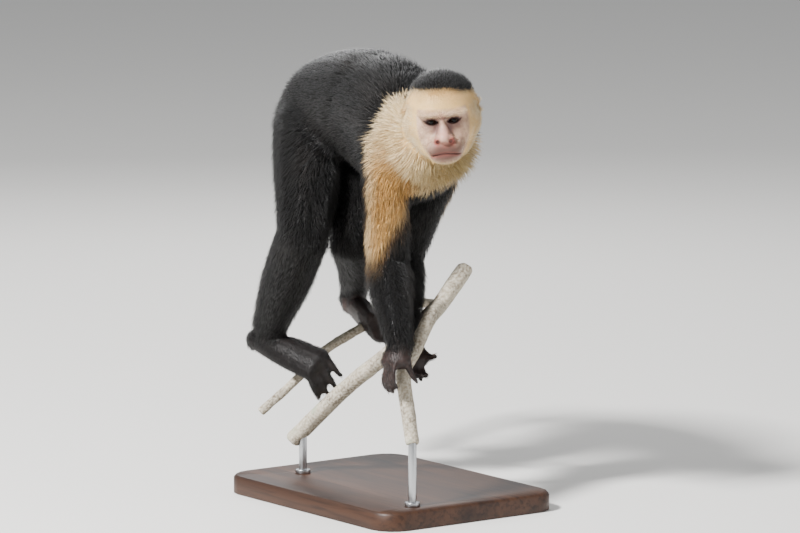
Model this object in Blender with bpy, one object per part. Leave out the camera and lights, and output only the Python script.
"""White-faced capuchin, adult, life size, standing on a forked branch on a display stand.

Metres, +Z up, the body heads along -Y. The origin is the middle of the underside
of the base. Every solid reaches out to the tips of the coat. Points and radii
are given in millimetres and scaled once, in mm().
"""
import math

import bmesh
import bpy
import numpy as np
from mathutils import Matrix, Vector

GAP = 0.35            # mm left between neighbouring pieces

# ---------------------------------------------------------------- pose, in mm
SPINE = {
    "rump": (-1, 122, 366), "pelvis": (1, 84, 377), "loin": (-6, 34, 386),
    "mid": (-12, -10, 388), "thorax": (-19, -58, 378), "shoulders": (-24, -104, 362),
    "neck": (-31, -140, 369),
}
# half width and half height of the trunk at each of those places
TRUNK = {
    "rump": (31, 30), "pelvis": (50, 48), "loin": (53, 55), "mid": (54, 59),
    "thorax": (55, 65), "shoulders": (58, 63), "neck": (52, 50),
}
HEAD = (-40, -173, 392)
HEAD_TURN, HEAD_NOD, HEAD_ROLL = -36.0, 9.0, -5.5

ARM_R = {"shoulder": (-55, -104, 347), "elbow": (-48, -91, 243), "wrist": (-81, -159, 175),
         "knuckle": (-95, -163, 155)}
ARM_L = {"shoulder": (-1, -112, 340), "elbow": (3, -52, 241), "wrist": (-46, -123, 165),
         "knuckle": (-50, -138, 147)}
LEG_R = {"hip": (-30, 66, 366), "knee": (-78, 7, 264), "ankle": (-71, 78, 161),
         "heel": (-77, 92, 147), "ball": (-58, 17, 129)}
LEG_L = {"hip": (29, 75, 364), "knee": (-20, 5, 255), "ankle": (32, 76, 188),
         "heel": (33, 85, 180), "ball": (14, 14, 161)}

FINGER = (14, 10.5, 7.5)          # lengths of the three bones of a finger
TOE = (13, 11, 8)

BRANCH_HIND = ((7, -107, 197), (22, -59, 193), (28, -9, 181), (22, 32, 162), (-30, 43, 136),
               (-61, 46, 109), (-97, 58, 78))
BRANCH_MAIN = ((31, -115, 234), (11, -117, 214), (0, -110, 196), (-6, -89, 177), (-21, -73, 155),
               (-43, -14, 107), (-72, 37, 50))
BRANCH_FORE = ((0, -115, 200), (-32, -138, 189), (-58, -152, 165), (-73, -154, 145),
               (-79, -169, 111), (-83, -183, 78))
R_HIND, R_MAIN, R_FORE = 5.2, 8.8, 7.6

BASE_X, BASE_Y, BASE_Z = 210, 280, 18
BASE_MID = (-25, -65)
BASE_CORNER = 26
ROD_R = 4.0


def mm(p):
    return Vector(p) * 0.001


for old in list(bpy.data.objects):
    bpy.data.objects.remove(old, do_unlink=True)


# ---------------------------------------------------------------- materials
def material(name, rgb, rough, metal=0.0):
    m = bpy.data.materials.new(name)
    m.use_nodes = True
    m.diffuse_color = (*rgb, 1)
    b = m.node_tree.nodes["Principled BSDF"]
    b.inputs["Base Color"].default_value = (*rgb, 1)
    b.inputs["Roughness"].default_value = rough
    b.inputs["Metallic"].default_value = metal
    return m


BLACK = (0.012, 0.010, 0.011)
CREAM = (0.72, 0.55, 0.33)
PINK = (0.62, 0.40, 0.34)
EYE = (0.02, 0.012, 0.008)
BARK = (0.50, 0.45, 0.36)
WOOD = (0.05, 0.028, 0.018)
STEEL = (0.55, 0.55, 0.56)


# ---------------------------------------------------------------- shape tools
def curve_point(points, u):
    """Catmull-Rom through the points; u runs from 0 to the last index."""
    n = len(points) - 1
    i = min(int(u), n - 1)
    t = u - i
    a = np.array(points[max(i - 1, 0)], float)
    b = np.array(points[i], float)
    c = np.array(points[i + 1], float)
    d = np.array(points[min(i + 2, n)], float)
    return 0.5 * (2 * b + (c - a) * t + (2 * a - 5 * b + 4 * c - d) * t * t
                  + (3 * b - a - 3 * c + d) * t ** 3)


def mesh_object(name, bm):
    me = bpy.data.meshes.new(name)
    bmesh.ops.recalc_face_normals(bm, faces=bm.faces)
    bm.to_mesh(me)
    bm.free()
    ob = bpy.data.objects.new(name, me)
    bpy.context.scene.collection.objects.link(ob)
    return ob


def loft(name, points, radii, span=None, caps=("round", "round"), seg=20, rings=12,
         side=(0, 0, 1), grow=0.0, cap_len=0.8):
    """Closed tube of elliptical rings on a smooth curve.

    radii holds (half width, half height) at each point; the height lies in the
    plane of the curve and `side`. Flat ends stop GAP / 2 short of the span.
    """
    u0, u1 = span or (0, len(points) - 1)
    rows = []
    for k in range(rings + 1):
        u = u0 + (u1 - u0) * k / rings
        c = curve_point(points, u)
        e = 0.01
        t = curve_point(points, min(u + e, len(points) - 1)) - curve_point(points, max(u - e, 0))
        rows.append([c, t / np.linalg.norm(t), curve_point(radii, u) + grow])
    first, last = rows[0], rows[-1]
    if caps[0] == "flat":
        rows[0] = [first[0] + first[1] * (GAP / 2 - grow), first[1], first[2]]
    if caps[1] == "flat":
        rows[-1] = [last[0] - last[1] * (GAP / 2 - grow), last[1], last[2]]
    full = []
    steps = (78, 55, 28)
    if caps[0] == "round":
        for deg in steps:
            s, c = math.sin(math.radians(deg)), math.cos(math.radians(deg))
            full.append([first[0] - first[1] * min(first[2]) * cap_len * s, first[1], first[2] * c])
    full += rows
    if caps[1] == "round":
        for deg in reversed(steps):
            s, c = math.sin(math.radians(deg)), math.cos(math.radians(deg))
            full.append([last[0] + last[1] * min(last[2]) * cap_len * s, last[1], last[2] * c])
    bm = bmesh.new()
    loops = []
    for c, t, r in full:
        w = np.cross(t, np.array(side, float))
        w = w / np.linalg.norm(w)
        h = np.cross(w, t)
        loop = []
        for j in range(seg):
            a = 2 * math.pi * j / seg
            p = c + w * math.cos(a) * r[0] + h * math.sin(a) * r[1]
            loop.append(bm.verts.new(mm(p)))
        loops.append(loop)
    for a, b in zip(loops, loops[1:]):
        for j in range(seg):
            k = (j + 1) % seg
            bm.faces.new((a[j], a[k], b[k], b[j]))
    bm.faces.new(loops[0])
    bm.faces.new(loops[-1])
    return mesh_object(name, bm)


def ball(centre, radii, frame=None, level=3):
    """Ellipsoid; frame is a matrix in mm that places it."""
    bm = bmesh.new()
    bmesh.ops.create_icosphere(bm, subdivisions=level, radius=1.0)
    for v in bm.verts:
        p = Vector((v.co.x * radii[0], v.co.y * radii[1], v.co.z * radii[2])) + Vector(centre)
        v.co = mm(frame @ p if frame else p)
    return mesh_object("form", bm)


def rod(points, radii, seg=10, side=(0, 0, 1)):
    return loft("form", points, [(r, r) for r in radii], seg=seg, rings=2 * (len(points) - 1),
                side=side, cap_len=1.0)


def apply_all(ob):
    bpy.context.view_layer.update()
    dg = bpy.context.evaluated_depsgraph_get()
    me = bpy.data.meshes.new_from_object(ob.evaluated_get(dg))
    old = ob.data
    ob.modifiers.clear()
    ob.data = me
    bpy.data.meshes.remove(old)


def fuse(name, forms, voxel, tris, smooth=3, factor=0.5):
    """One closed skin round all the forms, smoothed and thinned to about `tris` triangles."""
    bm = bmesh.new()
    for f in forms:
        bm.from_mesh(f.data)
        bpy.data.objects.remove(f, do_unlink=True)
    ob = mesh_object(name, bm)
    m = ob.modifiers.new("skin", "REMESH")
    m.mode = "VOXEL"
    m.voxel_size = voxel * 0.001
    s = ob.modifiers.new("soft", "SMOOTH")
    s.iterations = smooth
    s.factor = factor
    apply_all(ob)
    now = sum(len(p.vertices) - 2 for p in ob.data.polygons)
    if now > tris:
        d = ob.modifiers.new("thin", "DECIMATE")
        d.ratio = tris / now
        apply_all(ob)
    return ob


def grown(ob, by):
    """Copy with its skin moved out by `by` mm."""
    me = ob.data.copy()
    out = [v.normal.copy() for v in me.vertices]
    for v, n in zip(me.vertices, out):
        v.co += n * by * 0.001
    c = bpy.data.objects.new("grown", me)
    bpy.context.scene.collection.objects.link(c)
    return c


def largest(ob):
    """Keep only the largest closed island."""
    bm = bmesh.new()
    bm.from_mesh(ob.data)
    bmesh.ops.triangulate(bm, faces=bm.faces)
    bm.verts.ensure_lookup_table()
    seen = set()
    islands = []
    for v in bm.verts:
        if v.index in seen:
            continue
        seen.add(v.index)
        stack, group = [v], []
        while stack:
            w = stack.pop()
            group.append(w)
            for e in w.link_edges:
                o = e.other_vert(w)
                if o.index not in seen:
                    seen.add(o.index)
                    stack.append(o)
        islands.append(group)
    islands.sort(key=len)
    spare = [v for g in islands[:-1] for v in g]
    bmesh.ops.delete(bm, geom=spare, context="VERTS")
    bmesh.ops.dissolve_degenerate(bm, dist=4e-5, edges=bm.edges)
    bm.to_mesh(ob.data)
    bm.free()


def cut(ob, *tools, by=GAP):
    """Take each tool, grown by the gap, out of the piece."""
    for tool in tools:
        g = grown(tool, by) if by else tool
        m = ob.modifiers.new("cut", "BOOLEAN")
        m.operation = "DIFFERENCE"
        m.solver = "EXACT"
        m.object = g
        apply_all(ob)
        bpy.data.objects.remove(g, do_unlink=True)
    largest(ob)


def part_at(upper, lower, limb_pts):
    """Part two bones of a limb on the plane that halves the bend at their joint."""
    a, b, c = (np.array(p, float) for p in limb_pts)
    way = unit(unit(b - a) + unit(c - b))
    turn = Vector((0, 0, 1)).rotation_difference(Vector(way)).to_matrix().to_4x4()
    for ob, s in ((upper, 1), (lower, -1)):
        bm = bmesh.new()
        place = Matrix.Translation(mm(b + way * s * (100 - GAP / 2)))
        bmesh.ops.create_cube(bm, size=0.2, matrix=place @ turn)
        cut(ob, mesh_object("half", bm), by=0)


def paint(ob, name, rgb, rough=0.8, metal=0.0):
    ob.name = name
    ob.data.name = name
    ob.data.materials.clear()
    ob.data.materials.append(material(name, rgb, rough, metal))
    for p in ob.data.polygons:
        p.use_smooth = False
    return ob


def lerp(a, b, t):
    return tuple(x + (y - x) * t for x, y in zip(a, b))


def unit(v):
    v = np.array(v, float)
    return v / np.linalg.norm(v)


# ---------------------------------------------------------------- perch
def branch(points, r, flat=True):
    n = len(points) - 1
    radii = [(r * (1 + 0.05 * math.sin(2.1 * i)), r * (1 - 0.05 * math.sin(1.7 * i)))
             for i in range(n + 1)]
    return loft("form", points, radii, seg=14, rings=6 * n, caps=("round", "flat"),
                side=(0.3, -0.9, 0.3), cap_len=0.4)


perch = fuse("perch", [branch(BRANCH_MAIN, R_MAIN), branch(BRANCH_HIND, R_HIND),
                       branch(BRANCH_FORE, R_FORE)], 1.6, 560, smooth=2)


# ---------------------------------------------------------------- trunk and tail
names = list(SPINE)
SPINE_PTS = [SPINE[n] for n in names]
TRUNK_RAD = [TRUNK[n] for n in names]


def trunk(name, u0, u1, caps, rings):
    return loft(name, SPINE_PTS, TRUNK_RAD, (u0, u1), caps, seg=20, rings=rings, cap_len=0.75)


pelvis = trunk("pelvis", 0, 2.0, ("round", "flat"), 5)
abdomen = trunk("abdomen", 2.0, 3.3, ("flat", "flat"), 3)
chest = trunk("chest", 3.3, 6.0, ("flat", "round"), 7)


def tail_path():
    """Back from the rump, down, then coiled at the tip in an upright plane."""
    away = unit((0.56, 0.83, 0))
    start = np.array((-3, 122, 366), float)
    pts = [start]
    turn, step = -8.0, 9.0
    heading = 4.0
    for i in range(50):
        if i < 4:
            turn = -4.0
        elif i < 13:
            turn = -10.5
        elif i < 22:
            turn = -1.0
        else:
            turn = -10.0 - 0.45 * (i - 22)
        heading += turn
        a = math.radians(heading)
        way = away * math.cos(a) + np.array((0, 0, 1)) * math.sin(a)
        drift = np.array((0.83, -0.56, 0)) * (-0.08 if i > 20 else 0.0)
        pts.append(pts[-1] + (way + drift) * step)
    return pts


TAIL = [tuple(p) for p in tail_path()]
TAIL_RAD = [(15.0 - 9.0 * (i / 50) ** 1.1,) * 2 for i in range(51)]
TAIL_CUTS = (0, 12, 24, 37, 50)
tails = []
for k in range(4):
    a, b = TAIL_CUTS[k], TAIL_CUTS[k + 1]
    caps = ("round" if k == 0 else "flat", "round" if k == 3 else "flat")
    tails.append(loft("tail_%d" % (k + 1), TAIL, TAIL_RAD, (a, b), caps, seg=8, rings=7,
                      side=(0.83, -0.56, 0)))


# ---------------------------------------------------------------- limbs
def limb(points, radii, side, seg=12, rings=4):
    return loft("limb", points, radii, seg=seg, rings=rings, side=side)


FORWARD = (0, -1, 0)
thigh_R = limb((LEG_R["hip"], lerp(LEG_R["hip"], LEG_R["knee"], 0.5), LEG_R["knee"]),
               ((35, 44), (32, 38), (28, 29)), FORWARD)
thigh_L = limb((LEG_L["hip"], lerp(LEG_L["hip"], LEG_L["knee"], 0.5), LEG_L["knee"]),
               ((33, 42), (30, 35), (25.5, 26.5)), FORWARD)
shank_R = limb((LEG_R["knee"], lerp(LEG_R["knee"], LEG_R["ankle"], 0.45), LEG_R["ankle"]),
               ((28, 29), (27.5, 28), (19.5, 20.5)), FORWARD)
shank_L = limb((LEG_L["knee"], lerp(LEG_L["knee"], LEG_L["ankle"], 0.45), LEG_L["ankle"]),
               ((25.5, 26.5), (19.5, 21), (15, 16)), FORWARD)
upper_R = limb((ARM_R["shoulder"], lerp(ARM_R["shoulder"], ARM_R["elbow"], 0.5), ARM_R["elbow"]),
               ((27, 32), (25, 27), (23.5, 24.5)), FORWARD)
upper_L = limb((ARM_L["shoulder"], lerp(ARM_L["shoulder"], ARM_L["elbow"], 0.5), ARM_L["elbow"]),
               ((26, 31), (23, 25), (21.5, 22.5)), FORWARD)
fore_R = limb((ARM_R["elbow"], lerp(ARM_R["elbow"], ARM_R["wrist"], 0.4), ARM_R["wrist"]),
              ((23.5, 24.5), (23, 23), (16.5, 15.5)), FORWARD)
fore_L = limb((ARM_L["elbow"], lerp(ARM_L["elbow"], ARM_L["wrist"], 0.4), ARM_L["wrist"]),
              ((21.5, 22.5), (20, 20), (14.5, 14)), FORWARD)


def nearest(points, p):
    best = None
    for k in range(201):
        c = curve_point(points, (len(points) - 1) * k / 200)
        d = np.linalg.norm(c - np.array(p, float))
        if best is None or d < best[0]:
            best = (d, c, k)
    u = (len(points) - 1) * best[2] / 200
    t = curve_point(points, min(u + 0.02, len(points) - 1)) - curve_point(points, max(u - 0.02, 0))
    return best[1], unit(t)


def turned(v, axis, deg):
    return np.array(Matrix.Rotation(math.radians(deg), 3, Vector(axis)) @ Vector(v))


def digit(root, way, axis, bends, lengths, radii):
    """Chain of bones; each one turns further about the axis."""
    pts = [np.array(root, float)]
    d = np.array(way, float)
    for b, n in zip(bends, lengths):
        d = turned(d, axis, b)
        pts.append(pts[-1] + d * n)
    return rod([tuple(p) for p in pts], radii, seg=10, side=tuple(axis))


def foot(leg, branch_pts, medial, droop, tris):
    """Heel to ball, four toes (turned aside by the droop) and the big toe round the branch."""
    heel = np.array(leg["heel"], float)
    ball_pt = np.array(leg["ball"], float)
    a = unit(ball_pt - heel)
    c, t = nearest(branch_pts, ball_pt)
    n = c - ball_pt
    n = unit(n - a * n.dot(a))
    w = np.cross(n, a) * medial
    forms = [loft("form", [tuple(heel), tuple(heel + (ball_pt - heel) * 0.5), tuple(ball_pt + a * 3)],
                  [(12.5, 12), (18, 12), (20, 10)], seg=16, rings=8, side=tuple(n), cap_len=0.8)]
    forms.append(rod([leg["ankle"], tuple(heel + a * 14 - n * 2)], (16, 13), seg=14, side=FORWARD))
    forms.append(ball(tuple(heel + n * 2), (12.5, 12.5, 12.5)))
    for k in range(4):
        off = (k - 1.5) * 9.0
        root = ball_pt + a * 2 - w * off
        way = unit(a * (1 - droop) - w * (0.85 * droop + 0.08 * (k - 1.5)) + n * 0.42)
        bend = unit(np.cross(way, n))
        size = (0.9, 1.06, 1.0, 0.84)[k]
        forms.append(digit(root, way, bend, (0, 20, 26), [b * size for b in TOE],
                           (4.9, 4.6, 4.2, 3.4)))
    root = heel + (ball_pt - heel) * 0.56 + w * 9
    way = unit(n * 0.85 + a * 0.25 + w * 0.30)
    forms.append(digit(root, way, -np.cross(a, n), (0, 34, 45), (16, 13, 11), (6.4, 6.0, 5.4, 4.6)))
    return fuse("foot", forms, 1.3, tris, smooth=1)


def hand(arm, branch_pts, sweep, tris):
    """Palm laid on the branch, four fingers hooked down one side, thumb on the other."""
    wrist = np.array(arm["wrist"], float)
    knuckle = np.array(arm["knuckle"], float)
    a = unit(knuckle - wrist)
    c, t = nearest(branch_pts, knuckle)
    n = c - knuckle
    n = unit(n - a * n.dot(a))
    w = np.cross(n, a)
    bend = np.cross(a, n)
    row = unit(w * sweep * 0.82 + n * 0.57)
    forms = [loft("form", [tuple(wrist), tuple(knuckle - w * sweep * 4 - a * 3)], [(13, 10.5), (17, 9.5)],
                  seg=16, rings=6, side=tuple(n), cap_len=0.8)]
    for k in range(4):
        root = knuckle - a * 3 + row * (9.0 - k * 6.0)
        way = unit(a + n * 0.10 + w * sweep * (0.02 - 0.04 * k))
        size = (0.86, 1.0, 1.04, 0.92)[k]
        forms.append(digit(root, way, bend, (6, 30, 38), [b * size for b in FINGER],
                           (3.9, 3.7, 3.4, 2.9)))
    root = wrist + a * 9 - w * sweep * 12
    forms.append(digit(root, unit(a * 0.8 + n * 0.35 - w * sweep * 0.30), bend, (0, 22, 24),
                       (12, 10, 8), (5.0, 4.7, 4.2, 3.5)))
    return fuse("hand", forms, 1.2, tris, smooth=1)


foot_R = foot(LEG_R, BRANCH_HIND, -1, 0.42, 520)
foot_L = foot(LEG_L, BRANCH_HIND, 1, 0.0, 420)
hand_R = hand(ARM_R, BRANCH_FORE, 1, 480)
hand_L = hand(ARM_L, BRANCH_FORE, -1, 420)

# ---------------------------------------------------------------- head
H = (Matrix.Translation(Vector(HEAD))
     @ Matrix.Rotation(math.radians(HEAD_TURN), 4, "Z")
     @ Matrix.Rotation(math.radians(HEAD_NOD), 4, "X")
     @ Matrix.Rotation(math.radians(HEAD_ROLL), 4, "Y"))
# in the head's own frame x is its left, -y is forward, z is up
EYE_X, EYE_Y, EYE_Z, EYE_R = 10.7, -28.5, 5.6, 7.6
MOUTH_Z = -22.4


def form(centre, radii):
    return ball(centre, radii, H)


head_forms = [
    form((0, 6, 12.5), (37, 44, 33.2)),        # braincase with the cap
    form((-1, -3, -2), (44, 33, 37)),          # cheek ruffs
    form((0, -10, -21), (32, 29, 25)),         # fringe under the chin
    form((0, -18, 12), (27, 18, 22)),          # forehead
    form((11, -31.5, 13.6), (13.5, 7.5, 4.4)),   # brow ridge
    form((-11, -31.5, 13.6), (13.5, 7.5, 4.4)),
    form((0, -33, 12.5), (9, 7, 4)),
    form((17, -21, -4), (10.5, 11, 13)),       # cheek bones
    form((-17, -21, -4), (10.5, 11, 13)),
    form((0, -26, 1), (21, 8, 12)),
    form((0, -30, -19), (17.5, 19, 12.5)),     # muzzle
    form((0, -35, -1), (4.4, 8, 11)),          # bridge of the nose
    form((0, -44, -9), (7.6, 7.5, 6.2)),       # tip of the nose
    form((6.2, -41.5, -10), (4.6, 6.4, 4.6)),
    form((-6.2, -41.5, -10), (4.6, 6.4, 4.6)),
    form((0, -29, -30), (14.5, 15.5, 7.5)),    # chin and lower lip
]
head = fuse("head", head_forms, 1.3, 900, smooth=2)

eyes = []
for s in (-1, 1):
    e = form((s * EYE_X, EYE_Y + 4.2, EYE_Z), (EYE_R, EYE_R, EYE_R))
    opening = ball((s * EYE_X, -36.5, EYE_Z - 0.6), (6.6, 7.5, 3.6), H, level=2)
    cut(head, opening, by=0)
    eyes.append(e)
for s in (-1, 1):
    nostril = ball((s * 6.4, -47, -11.3), (1.9, 3.2, 1.6), H, level=1)
    cut(head, nostril, by=0)
lip = [H @ Vector((x, -48.5 + 0.055 * x * x, MOUTH_Z - 0.017 * x * x))
       for x in (-15.5, -11, -5.5, 0, 5.5, 11, 15.5)]
mouth = loft("mouth", [tuple(p) for p in lip], [(2.6, 0.6)] * 7, seg=6, rings=10,
             side=tuple(H.to_3x3() @ Vector((0, 0, 1))))
cut(head, mouth, by=0)

ears = []
for s in (-1, 1):
    tilt = H @ Matrix.Rotation(math.radians(s * 18), 4, "Z")
    ears.append(ball((s * 36, 4, 11), (6.5, 4.2, 11), tilt, level=2))

# ---------------------------------------------------------------- joints between pieces
part_at(thigh_R, shank_R, (LEG_R["hip"], LEG_R["knee"], LEG_R["ankle"]))
part_at(thigh_L, shank_L, (LEG_L["hip"], LEG_L["knee"], LEG_L["ankle"]))
part_at(upper_R, fore_R, (ARM_R["shoulder"], ARM_R["elbow"], ARM_R["wrist"]))
part_at(upper_L, fore_L, (ARM_L["shoulder"], ARM_L["elbow"], ARM_L["wrist"]))
cut(chest, upper_R, upper_L, head, ears[0], ears[1])
cut(abdomen, thigh_R, thigh_L)
cut(pelvis, thigh_R, thigh_L, tails[0])
cut(thigh_L, thigh_R)
cut(foot_R, shank_R)
cut(foot_L, shank_L)
cut(hand_R, fore_R)
cut(hand_L, fore_L)
cut(hand_L, hand_R)
cut(head, eyes[0], eyes[1], ears[0], ears[1])
for piece in (foot_R, foot_L, hand_R, hand_L, fore_L):
    cut(piece, perch, by=0.45)

# ---------------------------------------------------------------- stand
bm = bmesh.new()
corner = []
for k in range(4):
    cx = (BASE_X / 2 - BASE_CORNER) * (1 if k in (0, 3) else -1)
    cy = (BASE_Y / 2 - BASE_CORNER) * (1 if k in (0, 1) else -1)
    for j in range(5):
        a = math.radians(90 * k + 22.5 * j)
        corner.append((cx + BASE_CORNER * math.cos(a), cy + BASE_CORNER * math.sin(a)))
rows = []
for z, inset in ((0, 0), (BASE_Z - 3, 0), (BASE_Z, 3)):
    row = []
    for x, y in corner:
        s = 1 - inset / math.hypot(x, y)
        row.append(bm.verts.new(mm((x * s + BASE_MID[0], y * s + BASE_MID[1], z))))
    rows.append(row)
for a, b in zip(rows, rows[1:]):
    for j in range(len(a)):
        k = (j + 1) % len(a)
        bm.faces.new((a[j], a[k], b[k], b[j]))
bm.faces.new(rows[0])
bm.faces.new(rows[-1])
base = mesh_object("stand_base", bm)

rods = []
for foot_pt, top_pt in (((-66, 27, 8), (-66, 27, 62)), ((-82.5, -181.5, 8), (-82.5, -181.5, 84))):
    rods.append(loft("rod", [foot_pt, top_pt], [(ROD_R, ROD_R)] * 2, seg=12, rings=1,
                     caps=("flat", "flat"), side=(0, 1, 0)))
cut(base, rods[0], rods[1])
cut(perch, rods[0], rods[1])

# ---------------------------------------------------------------- names
paint(head, "head", CREAM)
paint(ears[0], "ear_right", CREAM)
paint(ears[1], "ear_left", CREAM)
paint(eyes[0], "eye_right", EYE, 0.1)
paint(eyes[1], "eye_left", EYE, 0.1)
paint(chest, "chest", CREAM)
paint(abdomen, "abdomen", BLACK)
paint(pelvis, "pelvis", BLACK)
for k, ob in enumerate(tails):
    paint(ob, "tail_%d" % (k + 1), BLACK)
for ob, name in ((upper_R, "upper_arm_right"), (upper_L, "upper_arm_left")):
    paint(ob, name, CREAM)
for ob, name in ((fore_R, "forearm_right"), (fore_L, "forearm_left"), (hand_R, "hand_right"),
                 (hand_L, "hand_left"), (thigh_R, "thigh_right"), (thigh_L, "thigh_left"),
                 (shank_R, "shank_right"), (shank_L, "shank_left"), (foot_R, "foot_right"),
                 (foot_L, "foot_left")):
    paint(ob, name, BLACK)
paint(perch, "perch_branch", BARK, 0.85)
paint(base, "stand_base", WOOD, 0.4)
paint(rods[0], "stand_rod_rear", STEEL, 0.3, 1.0)
paint(rods[1], "stand_rod_front", STEEL, 0.3, 1.0)
